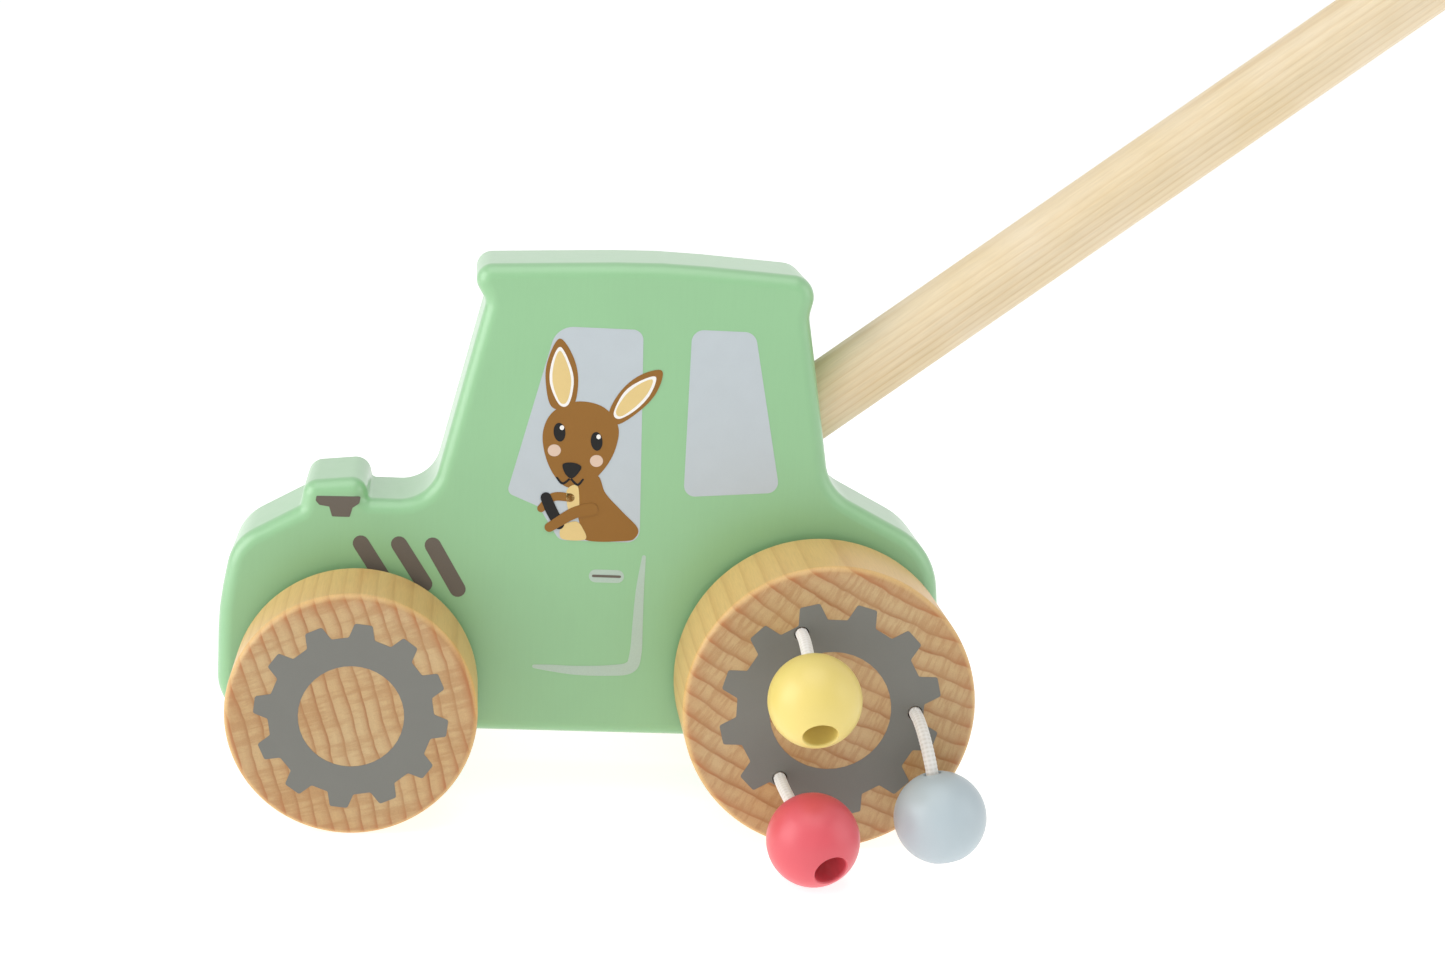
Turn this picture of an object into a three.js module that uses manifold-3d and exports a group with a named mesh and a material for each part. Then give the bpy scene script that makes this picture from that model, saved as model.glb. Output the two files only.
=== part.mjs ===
// A push-along wooden tractor: a plank-cut body, four wheels on two dowel axles, a push rod
// with a knob, and three beads on knotted cords on each rear wheel.
// Millimetres, +X forward, +Y to the tractor's left, +Z up. The origin is on the ground,
// under the middle of the whole toy's length.
import * as THREE from "three";
import { mergeVertices } from "three/addons/utils/BufferGeometryUtils.js";
import Module from "manifold-3d";

const wasm = await Module();
wasm.setup();

// Driving dimensions
const wheelbase = 106.93;
const body = { halfWidth: 14, noseX: 32.2, edgeRound: 3.5, roundSteps: 2 };
const axle = { radius: 4, runningGap: 0.1, gluedGap: 0.1, sides: 32 };
const frontWheel = { radius: 28, inner: 16.05, outer: 40.25, edge: 2, boreDepth: 15, sides: 48 };
const rearWheel = { radius: 33.4, inner: 15.95, outer: 43.25, edge: 2, boreDepth: 17, sides: 48 };
const cordHole = { circle: 19.4, radius: 1.7, knotRadius: 3.9, knotDepth: 7, sides: 16 };
const rod = { radius: 8.25, rise: 37.85, entryX: -105, entryZ: 95.64, sunk: 35, reach: 473, sides: 24 };
const knob = { radius: 14, cover: 3, gap: 0.15, sides: 24 };
const bead = { radius: 10.3, bore: 1.9, mouth: 3.65, mouthFloor: -1.5, sides: 16 };
const cord = { radius: 1.4, sides: 8, lead: 2, gap: 0.3 };
const knot = { radius: 2.9, halfHeight: 2.6, sides: 10 };

// One cord on each rear wheel for each bead. The angle is the hole's place round the wheel, from
// straight ahead up over the top. Free is the cord's length from the wheel's face to the bead,
// droop is how far the bead's axis bends down from straight out, and lean turns it rearward.
const beadCords = [
  { name: "yellow", angle: 66.4, free: 12.4, droop: 35, lean: 5, colour: 0xf1e079 },
  { name: "blue", angle: 180, free: 18, droop: 80, lean: 13, colour: 0xc0d1db },
  { name: "red", angle: 302.5, free: 13, droop: 30.5, lean: 39, colour: 0xe95c6b },
];

// The side view's corners, each [x from the front axle, height, radius].
const bodyCorners = [
  [-137, 16, 8], // tail, lower corner
  [body.noseX, 16, 12], // nose, lower corner
  [body.noseX, 44, 60], // the grille starts to lean back
  [29.4, 60.1, 12], // front edge of the bonnet
  [14.1, 68.8, 1.2], // foot of the air cleaner
  [13.2, 74.7, 3.6],
  [-0.3, 76.2, 3.6],
  [-1.4, 71.1, 1.1],
  [-15.3, 71.1, 9.2], // foot of the windscreen
  [-26.4, 118, 2.5], // under the roof's front lip
  [-21.5, 126.3, 3.7],
  [-66, 128.8, 200], // crown of the roof
  [-102.6, 126.9, 5.2],
  [-100.6, 117.9, 5], // under the roof's back lip
  [-108.1, 77.2, 12], // foot of the cab's back
  [-134.5, 63.9, 18], // back of the mudguard
  [-137, 43, 40],
];

const degree = Math.PI / 180;
const up = new THREE.Vector3(0, 0, 1);
const left = new THREE.Vector3(0, 1, 0);

function material(colour, roughness = 0.6) {
  return new THREE.MeshStandardMaterial({ color: colour, roughness, metalness: 0 });
}

const paint = { body: 0x93c497, gear: 0x7a7c78 };
const wood = { wheel: 0xbb9c6e, axle: 0xd8c49a, handle: 0xebdabc };
const cordWhite = 0xe9e4da;

function mesh(name, geometry, colour, roughness) {
  const made = new THREE.Mesh(geometry, material(colour, roughness));
  made.name = name;
  return made;
}

// A closed geometry as a solid that can be joined and cut, and the way back.
function toSolid(geometry) {
  const bare = geometry.clone();
  bare.deleteAttribute("normal");
  bare.deleteAttribute("uv");
  const merged = mergeVertices(bare, 1e-4);
  return new wasm.Manifold(
    new wasm.Mesh({
      numProp: 3,
      vertProperties: new Float32Array(merged.attributes.position.array),
      triVerts: new Uint32Array(merged.index.array),
    }),
  );
}

function toGeometry(solid) {
  const made = solid.getMesh();
  const geometry = new THREE.BufferGeometry();
  geometry.setAttribute("position", new THREE.BufferAttribute(made.vertProperties, 3));
  geometry.setIndex(new THREE.BufferAttribute(made.triVerts, 1));
  geometry.computeVertexNormals();
  return geometry;
}

function cut(geometry, cutters) {
  return toGeometry(cutters.reduce((rest, cutter) => rest.subtract(toSolid(cutter)), toSolid(geometry)));
}

// The points of an outline whose corners are rounded by arcs.
function roundedOutline(corners, stepDegrees = 15) {
  const points = [];
  corners.forEach(([x, z, radius], i) => {
    const here = new THREE.Vector2(x, z);
    const before = new THREE.Vector2(...corners.at(i - 1)).sub(here).normalize();
    const after = new THREE.Vector2(...corners[(i + 1) % corners.length]).sub(here).normalize();
    const half = Math.acos(THREE.MathUtils.clamp(before.dot(after), -1, 1)) / 2;
    const middle = before.clone().add(after).normalize();
    const centre = here.clone().addScaledVector(middle, radius / Math.sin(half));
    const start = here.clone().addScaledVector(before, radius / Math.tan(half)).sub(centre);
    const end = here.clone().addScaledVector(after, radius / Math.tan(half)).sub(centre);
    const turn = Math.atan2(start.cross(end), start.dot(end));
    const steps = Math.max(2, Math.ceil(Math.abs(turn) / degree / stepDegrees));
    for (let k = 0; k <= steps; k++)
      points.push(start.clone().rotateAround(new THREE.Vector2(), (turn * k) / steps).add(centre));
  });
  return points;
}

// A cylinder along Y, from one side coordinate to the other.
function dowel(radius, from, to, sides, x = 0, z = 0) {
  return new THREE.CylinderGeometry(radius, radius, to - from, sides).translate(x, (from + to) / 2, z);
}

// Turns a piece made along Y to lie along a direction, with its own origin at a point.
function along(geometry, direction, at) {
  const turn = new THREE.Quaternion().setFromUnitVectors(left, direction);
  return geometry.applyQuaternion(turn).translate(at.x, at.y, at.z);
}

function tube(curve, steps) {
  const section = new THREE.Shape();
  for (let k = 0; k < cord.sides; k++) {
    const angle = (2 * Math.PI * k) / cord.sides;
    const [x, y] = [cord.radius * Math.cos(angle), cord.radius * Math.sin(angle)];
    if (k) section.lineTo(x, y);
    else section.moveTo(x, y);
  }
  return new THREE.ExtrudeGeometry(section, { steps, bevelEnabled: false, extrudePath: curve });
}

// The push rod's line, measured from where it enters the back of the cab
const rodDirection = new THREE.Vector3(-Math.cos(rod.rise * degree), 0, Math.sin(rod.rise * degree));
const rodEntry = new THREE.Vector3(rod.entryX, 0, rod.entryZ);
const onRod = (distance) => rodEntry.clone().addScaledVector(rodDirection, distance);

function bodyBlock() {
  const { halfWidth, edgeRound, roundSteps } = body;
  const block = new THREE.ExtrudeGeometry(new THREE.Shape(roundedOutline(bodyCorners)), {
    depth: 2 * (halfWidth - edgeRound),
    bevelThickness: edgeRound,
    bevelSize: edgeRound,
    bevelOffset: -edgeRound,
    bevelSegments: roundSteps,
  });
  block.translate(0, 0, edgeRound - halfWidth).rotateX(Math.PI / 2);
  const boreRadius = axle.radius + axle.runningGap;
  const bores = [
    dowel(boreRadius, -halfWidth - 1, halfWidth + 1, axle.sides, 0, frontWheel.radius),
    dowel(boreRadius, -halfWidth - 1, halfWidth + 1, axle.sides, -wheelbase, rearWheel.radius),
  ];
  const socket = dowel(rod.radius + axle.gluedGap, -rod.sunk - 0.5, 20, rod.sides);
  return cut(block, [...bores, along(socket, rodDirection, rodEntry)]);
}

function handleRod() {
  return along(dowel(rod.radius, -rod.sunk, rod.reach, rod.sides), rodDirection, rodEntry);
}

// A ball with a blind socket that covers the rod's end.
function handleKnob() {
  const socket = rod.radius + knob.gap;
  const mouth = -Math.sqrt(knob.radius ** 2 - socket ** 2);
  const profile = [new THREE.Vector2(0, knob.cover + 0.3), new THREE.Vector2(socket, knob.cover + 0.3)];
  const start = Math.atan2(mouth, socket);
  for (let k = 0; k <= 10; k++) {
    const angle = start + ((Math.PI / 2 - start) * k) / 10;
    profile.push(new THREE.Vector2(knob.radius * Math.cos(angle), knob.radius * Math.sin(angle)));
  }
  profile.at(-1).x = 0;
  const ball = new THREE.LatheGeometry(profile, knob.sides);
  return along(ball, rodDirection, onRod(rod.reach - knob.cover));
}

// A wheel's section, with its outer face towards +Y and a blind bore in its inner face.
function wheelBlank(wheel) {
  const { radius, inner, outer, edge, boreDepth, sides } = wheel;
  const bore = axle.radius + axle.gluedGap;
  const profile = [
    [0, inner + boreDepth],
    [bore, inner + boreDepth],
    [bore, inner],
    [radius - edge, inner],
  ];
  for (const [middle, from] of [[inner + edge, -90], [outer - edge, 0]])
    for (const turned of [30, 60, 90]) {
      const angle = (from + turned) * degree;
      profile.push([radius - edge + edge * Math.cos(angle), middle + edge * Math.sin(angle)]);
    }
  profile.splice(7, 0, [radius, outer - edge]);
  profile.push([0, outer]);
  return new THREE.LatheGeometry(profile.map(([x, y]) => new THREE.Vector2(x, y)), sides);
}

function holePlace({ angle }) {
  return [cordHole.circle * Math.cos(angle * degree), cordHole.circle * Math.sin(angle * degree)];
}

function rearWheelSolid() {
  const { inner, outer } = rearWheel;
  const cutters = beadCords.flatMap((one) => {
    const [x, z] = holePlace(one);
    return [
      dowel(cordHole.radius, inner - 1, outer + 1, cordHole.sides, x, z),
      dowel(cordHole.knotRadius, inner - 1, inner + cordHole.knotDepth, cordHole.sides, x, z),
    ];
  });
  return cut(wheelBlank(rearWheel), cutters);
}

// A ball bored through, with a wider mouth at its far end for the knot. Its axis is +Y.
function beadSolid() {
  const { radius, bore, mouth, mouthFloor, sides } = bead;
  const start = -Math.acos(bore / radius);
  const end = Math.acos(mouth / radius);
  const profile = [];
  for (let k = 0; k <= 9; k++) {
    const angle = start + ((end - start) * k) / 9;
    profile.push(new THREE.Vector2(radius * Math.cos(angle), radius * Math.sin(angle)));
  }
  profile.push(new THREE.Vector2(mouth, mouthFloor), new THREE.Vector2(bore, mouthFloor));
  profile.push(profile[0].clone());
  return new THREE.LatheGeometry(profile, sides);
}

function knotSolid() {
  const ball = new THREE.SphereGeometry(knot.radius, knot.sides, 6);
  return ball.scale(1, knot.halfHeight / knot.radius, 1);
}

// A cord's line past the wheel: an arc that bends from straight out to the bead's axis, then straight
// through the bead. It starts at the pivot, a little outside the wheel's face.
function beadLine({ free, droop, lean }) {
  const down = new THREE.Vector3(-Math.sin(lean * degree), 0, -Math.cos(lean * degree));
  const bend = droop * degree;
  const arcRadius = (free - cord.lead) / bend;
  const onArc = (angle) =>
    new THREE.Vector3()
      .addScaledVector(left, arcRadius * Math.sin(angle))
      .addScaledVector(down, arcRadius * (1 - Math.cos(angle)));
  const axis = left.clone().multiplyScalar(Math.cos(bend)).addScaledVector(down, Math.sin(bend));
  const centre = onArc(bend).addScaledVector(axis, bead.radius);
  return { onArc, bend, axis, centre };
}

function freeCord(line) {
  const points = [0, 1, 2, 3, 4].map((k) => line.onArc((line.bend * k) / 4));
  const inBead = bead.radius + bead.mouthFloor;
  for (const share of [1, 2, 3])
    points.push(line.centre.clone().addScaledVector(line.axis, (inBead * share) / 3 - bead.radius));
  return tube(new THREE.CatmullRomCurve3(points), 9);
}

// The bead, its cord and knots, as nodes placed about the pivot in front of a wheel's hole.
function beadGroup(one, side) {
  const line = beadLine(one);
  const name = (piece) => `${one.name}_${piece}_${side}`;
  const pivot = rearWheel.outer + cord.lead;
  const knotY = rearWheel.inner + 1 + knot.halfHeight;
  const rootFrom = knotY + knot.halfHeight + cord.gap - pivot;
  const root = new THREE.LineCurve3(
    new THREE.Vector3(0, rootFrom, 0),
    new THREE.Vector3(0, -cord.radius - cord.gap, 0),
  );
  const knotPlace = bead.mouthFloor + cord.gap + knot.halfHeight;
  const group = new THREE.Group();
  const endKnot = along(knotSolid(), line.axis, line.centre.clone().addScaledVector(line.axis, knotPlace));
  group.add(
    mesh(name("bead"), along(beadSolid(), line.axis, line.centre), one.colour, 0.45),
    mesh(name("cord_free"), freeCord(line), cordWhite, 0.9),
    mesh(name("end_knot"), endKnot, cordWhite, 0.9),
    mesh(name("cord_root"), tube(root, 1), cordWhite, 0.9),
    mesh(name("back_knot"), knotSolid().translate(0, knotY - pivot, 0), cordWhite, 0.9),
  );
  const [x, z] = holePlace(one);
  group.position.set(x, pivot, z);
  return group;
}

// One side's wheels and beads, made on the left and mirrored for the right.
function wheelSide(side) {
  const group = new THREE.Group();
  const front = mesh(`front_wheel_${side}`, wheelBlank(frontWheel), wood.wheel, 0.55);
  front.position.z = frontWheel.radius;
  const rear = new THREE.Group();
  rear.position.set(-wheelbase, 0, rearWheel.radius);
  rear.add(mesh(`rear_wheel_${side}`, rearWheelSolid(), wood.wheel, 0.55));
  for (const one of beadCords) rear.add(beadGroup(one, side));
  group.add(front, rear);
  if (side === "right") group.scale.y = -1;
  return group;
}

function axleDowel(wheel) {
  const end = wheel.inner + wheel.boreDepth - 1;
  return dowel(axle.radius, -end, end, axle.sides);
}

const tractor = new THREE.Group();
tractor.add(mesh("body_block", bodyBlock(), paint.body, 0.45));
tractor.add(mesh("handle_rod", handleRod(), wood.handle, 0.55));
tractor.add(mesh("handle_knob", handleKnob(), wood.handle, 0.55));

const frontAxle = mesh("front_axle", axleDowel(frontWheel), wood.axle);
frontAxle.position.z = frontWheel.radius;
const rearAxle = mesh("rear_axle", axleDowel(rearWheel), wood.axle);
rearAxle.position.set(-wheelbase, 0, rearWheel.radius);
tractor.add(frontAxle, rearAxle, wheelSide("left"), wheelSide("right"));

// The knob's end is the toy's rearmost point, so this puts the origin mid-way along its length.
const tailX = onRod(rod.reach - knob.cover).x - knob.radius;
tractor.position.x = -(body.noseX + tailX) / 2;

export default tractor;
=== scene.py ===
import math

import bpy
from mathutils import Matrix, Vector


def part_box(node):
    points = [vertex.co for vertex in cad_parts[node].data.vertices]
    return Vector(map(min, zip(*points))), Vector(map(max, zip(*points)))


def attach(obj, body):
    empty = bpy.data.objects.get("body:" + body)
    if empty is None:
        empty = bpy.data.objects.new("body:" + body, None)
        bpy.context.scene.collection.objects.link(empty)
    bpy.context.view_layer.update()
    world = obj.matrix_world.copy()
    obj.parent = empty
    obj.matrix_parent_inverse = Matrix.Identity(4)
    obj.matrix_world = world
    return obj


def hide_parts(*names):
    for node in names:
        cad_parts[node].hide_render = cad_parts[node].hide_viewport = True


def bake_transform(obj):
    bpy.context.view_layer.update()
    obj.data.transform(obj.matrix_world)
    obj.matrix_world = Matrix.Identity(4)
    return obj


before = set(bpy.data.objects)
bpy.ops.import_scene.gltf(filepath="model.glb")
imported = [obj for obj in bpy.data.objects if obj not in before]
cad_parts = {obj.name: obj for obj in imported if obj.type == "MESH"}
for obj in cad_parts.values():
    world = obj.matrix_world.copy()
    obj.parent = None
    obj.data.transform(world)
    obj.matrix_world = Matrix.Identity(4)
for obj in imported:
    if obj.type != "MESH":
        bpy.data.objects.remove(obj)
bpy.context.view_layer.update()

mm = 0.001
weldGap = 2e-6  # points nearer than this are one point
sides = {"left": 1, "right": -1}


def middleOf(node):
    low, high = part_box(node)
    return (low + high) / 2


frontAxle = middleOf("front_axle")
rearAxle = middleOf("rear_axle")


def pickOnly(*pieces):
    bpy.ops.object.select_all(action="DESELECT")
    for piece in pieces:
        piece.select_set(True)
    bpy.context.view_layer.objects.active = pieces[-1]


def faceOut(piece):
    # every face's outside is turned outward
    pickOnly(piece)
    bpy.ops.object.mode_set(mode="EDIT")
    bpy.ops.mesh.select_all(action="SELECT")
    bpy.ops.mesh.normals_make_consistent(inside=False)
    bpy.ops.object.mode_set(mode="OBJECT")
    return piece


def settle(piece):
    # the piece's place goes into its mesh, and its object back to the origin
    pickOnly(piece)
    bpy.ops.object.transform_apply(location=True, rotation=True, scale=True)
    return piece


def finishWith(piece, kind, **settings):
    pickOnly(piece)
    modifier = piece.modifiers.new(kind.lower(), kind)
    for name, value in settings.items():
        setattr(modifier, name, value)
    bpy.ops.object.modifier_apply(modifier=modifier.name)


def cutAway(piece, *cutters):
    for cutter in cutters:
        finishWith(piece, "BOOLEAN", operation="DIFFERENCE", solver="EXACT", object=cutter)
        bpy.data.objects.remove(cutter)


def smooth(piece, angle=35):
    pickOnly(piece)
    bpy.ops.object.shade_smooth_by_angle(angle=math.radians(angle))
    finishWith(piece, "WEIGHTED_NORMAL", keep_sharp=True, weight=80)
    return piece


def dress(piece, material, body=None, nodes=()):
    piece.data.materials.clear()
    piece.data.materials.append(material)
    if nodes:
        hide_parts(*nodes)
    if body:
        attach(piece, body)
    return piece


def dowelPiece(name, radius, low, high, centre, turn=None, sides=64):
    # a cylinder along Y from low to high, turned about the centre
    bpy.ops.object.select_all(action="DESELECT")
    bpy.ops.mesh.primitive_cylinder_add(vertices=sides, radius=radius, depth=high - low)
    piece = bpy.context.object
    piece.name = name
    stand = Matrix.Translation((0, (low + high) / 2, 0)) @ Matrix.Rotation(math.pi / 2, 4, "X")
    piece.matrix_world = Matrix.Translation(centre) @ (turn or Matrix.Identity(4)) @ stand
    return settle(piece)


def turnedPiece(name, profile, steps=96, closed=True):
    # a line of points in the XY plane, spun round the Y axis; each is (radius, place along Y), and
    # a line that isn't closed starts and ends on the axis
    bpy.ops.object.select_all(action="DESELECT")
    bpy.ops.mesh.primitive_circle_add(vertices=len(profile), radius=1)
    piece = bpy.context.object
    piece.name = name
    for vertex, (radius, along) in zip(piece.data.vertices, profile):
        vertex.co = (radius, along, 0)
    if not closed:
        lastEdge = {0, len(profile) - 1}
        for edge in piece.data.edges:
            edge.select = set(edge.vertices) == lastEdge
        for vertex in piece.data.vertices:
            vertex.select = False
    bpy.ops.object.mode_set(mode="EDIT")
    if not closed:
        bpy.ops.mesh.select_mode(type="EDGE")
        bpy.ops.mesh.delete(type="EDGE")
        bpy.ops.mesh.select_mode(type="VERT")
    bpy.ops.mesh.select_all(action="SELECT")
    bpy.ops.mesh.spin(steps=steps, angle=math.tau, center=(0, 0, 0), axis=(0, 1, 0))
    bpy.ops.mesh.select_all(action="SELECT")
    bpy.ops.mesh.remove_doubles(threshold=weldGap)
    bpy.ops.object.mode_set(mode="OBJECT")
    return faceOut(piece)


def slab(name, loops, low, high):
    # flat outlines in the XZ plane, filled, and pulled out along Y from low to high
    curve = bpy.data.curves.new(name, "CURVE")
    curve.dimensions = "2D"
    curve.fill_mode = "BOTH"
    for loop in loops:
        spline = curve.splines.new("POLY")
        spline.points.add(len(loop) - 1)
        for point, (x, z) in zip(spline.points, loop):
            point.co = (x, z, 0, 1)
        spline.use_cyclic_u = True
    piece = bpy.data.objects.new(name, curve)
    bpy.context.collection.objects.link(piece)
    piece.rotation_euler.x = math.pi / 2
    piece.location.y = low
    pickOnly(piece)
    bpy.ops.object.convert(target="MESH")
    piece = settle(bpy.context.object)
    bpy.ops.object.mode_set(mode="EDIT")
    bpy.ops.mesh.select_all(action="SELECT")
    bpy.ops.mesh.remove_doubles(threshold=weldGap / 2)
    if len(loops) == 1:
        bpy.ops.mesh.dissolve_faces()
    else:
        bpy.ops.mesh.dissolve_limited(angle_limit=0.001)
    bpy.ops.mesh.select_all(action="SELECT")
    bpy.ops.mesh.extrude_region_move(TRANSFORM_OT_translate={"value": (0, high - low, 0)})
    bpy.ops.object.mode_set(mode="OBJECT")
    return faceOut(piece)


def arcPoints(centre, start, turn, steps):
    return [centre + Matrix.Rotation(turn * k / steps, 2) @ start for k in range(steps + 1)]


def cornerLoop(corners, stepDegrees=6):
    # an outline whose corners are rounded; each corner is (x, z, radius)
    points = []
    for i, (x, z, radius) in enumerate(corners):
        here = Vector((x, z))
        before = (Vector(corners[i - 1][:2]) - here).normalized()
        after = (Vector(corners[(i + 1) % len(corners)][:2]) - here).normalized()
        half = before.angle(after) / 2
        centre = here + (before + after).normalized() * radius / math.sin(half)
        start = here + before * radius / math.tan(half) - centre
        end = here + after * radius / math.tan(half) - centre
        turn = -start.angle_signed(end)
        steps = max(2, math.ceil(abs(math.degrees(turn)) / stepDegrees))
        points += arcPoints(centre, start, turn, steps)
    return [tuple(p) for p in points]


def smoothLine(points, closed, steps=8):
    # a Catmull-Rom curve through the points
    count = len(points)

    def pick(k):
        return Vector(points[k % count if closed else min(max(k, 0), count - 1)])

    made = []
    for i in range(count if closed else count - 1):
        a, b, c, d = (pick(i + k) for k in (-1, 0, 1, 2))
        for k in range(steps):
            t = k / steps
            made.append(0.5 * (2 * b + (c - a) * t + (2 * a - 5 * b + 4 * c - d) * t ** 2
                               + (3 * b - a - 3 * c + d) * t ** 3))
    if not closed:
        made.append(Vector(points[-1]))
    return made


def smoothLoop(points):
    return [tuple(p) for p in smoothLine(points, closed=True)]


def ovalLoop(x, z, across, tall, tilt=0):
    turn = Matrix.Rotation(math.radians(tilt), 2)
    count = 40
    angles = [math.tau * k / count for k in range(count)]
    ring = [Vector((across * math.cos(a), tall * math.sin(a))) for a in angles]
    return [tuple(Vector((x, z)) + turn @ p) for p in ring]


def strokeLoop(points, widths):
    # a drawn line with round ends, as wide at each point as its width says
    line = smoothLine([(*p, w) for p, w in zip(points, widths)], closed=False)
    edges = {1: [], -1: []}
    caps = []
    for i, here in enumerate(line):
        ahead = (line[min(i + 1, len(line) - 1)] - line[max(i - 1, 0)]).xy.normalized()
        across = Vector((-ahead.y, ahead.x))
        for side in edges:
            edges[side].append(here.xy + across * side * here.z / 2)
        if i in (0, len(line) - 1):
            caps.append((here, across))
    (first, firstAcross), (last, lastAcross) = caps
    capSteps = 8
    front = arcPoints(first.xy, firstAcross * first.z / 2, math.pi, capSteps)
    back = arcPoints(last.xy, -lastAcross * last.z / 2, math.pi, capSteps)
    return [tuple(p) for p in front[1:-1] + edges[-1] + back[1:-1] + edges[1][::-1]]


def tint(red, green, blue):
    # a colour as a paint chart gives it, in 0 to 255, as the shader wants it
    share = [c / 255 for c in (red, green, blue)]
    return tuple(c / 12.92 if c <= 0.04045 else ((c + 0.055) / 1.055) ** 2.4 for c in share) + (1,)


def place(tree, kind, values=None, **settings):
    node = tree.nodes.new(kind)
    for name, value in settings.items():
        setattr(node, name, value)
    for name, value in (values or {}).items():
        if isinstance(value, bpy.types.NodeSocket):
            tree.links.new(value, node.inputs[name])
        else:
            node.inputs[name].default_value = value
    return node


def calc(tree, operation, *terms, clamp=False):
    node = place(tree, "ShaderNodeMath", dict(enumerate(terms)), operation=operation, use_clamp=clamp)
    return node.outputs[0]


def noise(tree, vector, scale, detail=3, roughness=0.5):
    values = {"Vector": vector, "Scale": scale, "Detail": detail, "Roughness": roughness}
    return place(tree, "ShaderNodeTexNoise", values).outputs["Fac"]


def ramp(tree, value, stops):
    # stops are (place, grey or colour)
    node = place(tree, "ShaderNodeValToRGB", {"Fac": value})
    band = node.color_ramp.elements
    while len(band) < len(stops):
        band.new(0.5)
    for element, (where, colour) in zip(band, stops):
        element.position = where
        element.color = colour if isinstance(colour, tuple) else (colour, colour, colour, 1)
    return node.outputs["Color"]


def blendColour(tree, share, first, second, way="MIX"):
    node = place(tree, "ShaderNodeMix", data_type="RGBA", blend_type=way)
    for socket, value in zip((node.inputs[0], node.inputs[6], node.inputs[7]), (share, first, second)):
        if isinstance(value, bpy.types.NodeSocket):
            tree.links.new(value, socket)
        else:
            socket.default_value = value
    return node.outputs[2]


def bump(tree, height, strength, distance):
    values = {"Height": height, "Strength": strength, "Distance": distance}
    return place(tree, "ShaderNodeBump", values).outputs["Normal"]


def newMaterial(name, roughness=0.5, **values):
    material = bpy.data.materials.new(name)
    material.use_nodes = True
    tree = material.node_tree
    shader = tree.nodes["Principled BSDF"]
    shader.inputs["Roughness"].default_value = roughness
    for socket, value in values.items():
        shader.inputs[socket.replace("_", " ")].default_value = value
    return material, tree, shader


def ownPlace(tree, centre=(0, 0, 0), turn=(0, 0, 0)):
    # the piece's own coordinates in millimetres, from a centre, turned about X, Y and Z in degrees
    where = place(tree, "ShaderNodeTexCoord").outputs["Object"]
    moved = place(tree, "ShaderNodeVectorMath", {0: where, 1: tuple(centre)}, operation="SUBTRACT")
    values = {"Vector": moved.outputs[0], "Rotation": tuple(math.radians(a) for a in turn),
              "Scale": (1000, 1000, 1000)}
    return place(tree, "ShaderNodeMapping", values).outputs[0]


def newGroup(name, takes, gives):
    group = bpy.data.node_groups.new(name, "ShaderNodeTree")
    for kinds, way in ((takes, "INPUT"), (gives, "OUTPUT")):
        for socket, kind in kinds.items():
            group.interface.new_socket(name=socket, in_out=way, socket_type="NodeSocket" + kind)
    return group, group.nodes.new("NodeGroupInput").outputs, group.nodes.new("NodeGroupOutput").inputs


def useGroup(tree, group, values):
    return place(tree, "ShaderNodeGroup", values, node_tree=group).outputs


def squared(tree, value):
    return calc(tree, "MULTIPLY", value, value)


def darken(tree, colour, shade, share=1.0):
    return blendColour(tree, share, colour, shade, "MULTIPLY")


def greyOf(tree, shade):
    values = dict.fromkeys(("Red", "Green", "Blue"), shade)
    return place(tree, "ShaderNodeCombineColor", values).outputs[0]


camera = {
    "lens": 59.35,
    "fromFrontAxle": (-0.02085, 0.54949, 0.17206),
    "turned": (77.293, -3.547, 174.226),
    "sensor": 36,
}


def addCamera(view):
    bpy.ops.object.camera_add(location=frontAxle + Vector(view["fromFrontAxle"]),
                              rotation=[math.radians(a) for a in view["turned"]])
    made = bpy.context.object
    made.data.lens = view["lens"]
    made.data.sensor_width = view["sensor"]
    bpy.context.scene.camera = made
    print("camera set")


addCamera(camera)


cordWay = {
    "holeCircle": 0.0194,  # of the cords' holes, round the rear wheel's centre
    "wheelFace": 0.04325,
    "backKnot": 0.01955,
    "lead": 0.002,  # straight out of the hole, as far as the pivot
    "radius": 0.0014,
    "tail": 0.0012,  # past the end knot's middle
    "sides": 24,
    "ringEvery": 0.00016,
    "plaits": 8,  # diamonds of the weave, round the cord
    "plaitLength": 0.0009,
    "plaitHeight": 0.00006,
    "cutEnd": 0.0006,  # over which a cut end is drawn in
    "cutShare": 0.72,  # of the radius, at the very end
    "arcSteps": 12,
    "bendsFrom": 0.0012,  # inward and outward of the pivot, where a swinging bead bends its cord
    "bendsTo": 0.0032,
}
beadWay = {"radius": 0.0103, "bore": 0.0019, "mouth": 0.00365, "mouthFloor": -0.0015, "rim": 0.0004}
knotWay = {
    "radius": 0.0033, "halfHeight": 0.0026, "strand": 0.00125, "gap": 0.0003, "steps": 120, "sides": 16,
}
# angle is the hole's place round the wheel, from straight ahead up over the top
beadCords = {
    "yellow": {"angle": 66.4, "free": 0.0124, "droop": 35, "lean": 5, "paint": (229, 207, 117)},
    "blue": {"angle": 180, "free": 0.018, "droop": 80, "lean": 13, "paint": (180, 194, 200)},
    "red": {"angle": 302.5, "free": 0.013, "droop": 30.5, "lean": 39, "paint": (219, 84, 95)},
}


def holePlace(values):
    # where the cord's hole is, seen from the side
    angle, circle = math.radians(values["angle"]), cordWay["holeCircle"]
    return Vector((rearAxle.x + circle * math.cos(angle), 0, rearAxle.z + circle * math.sin(angle)))


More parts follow.
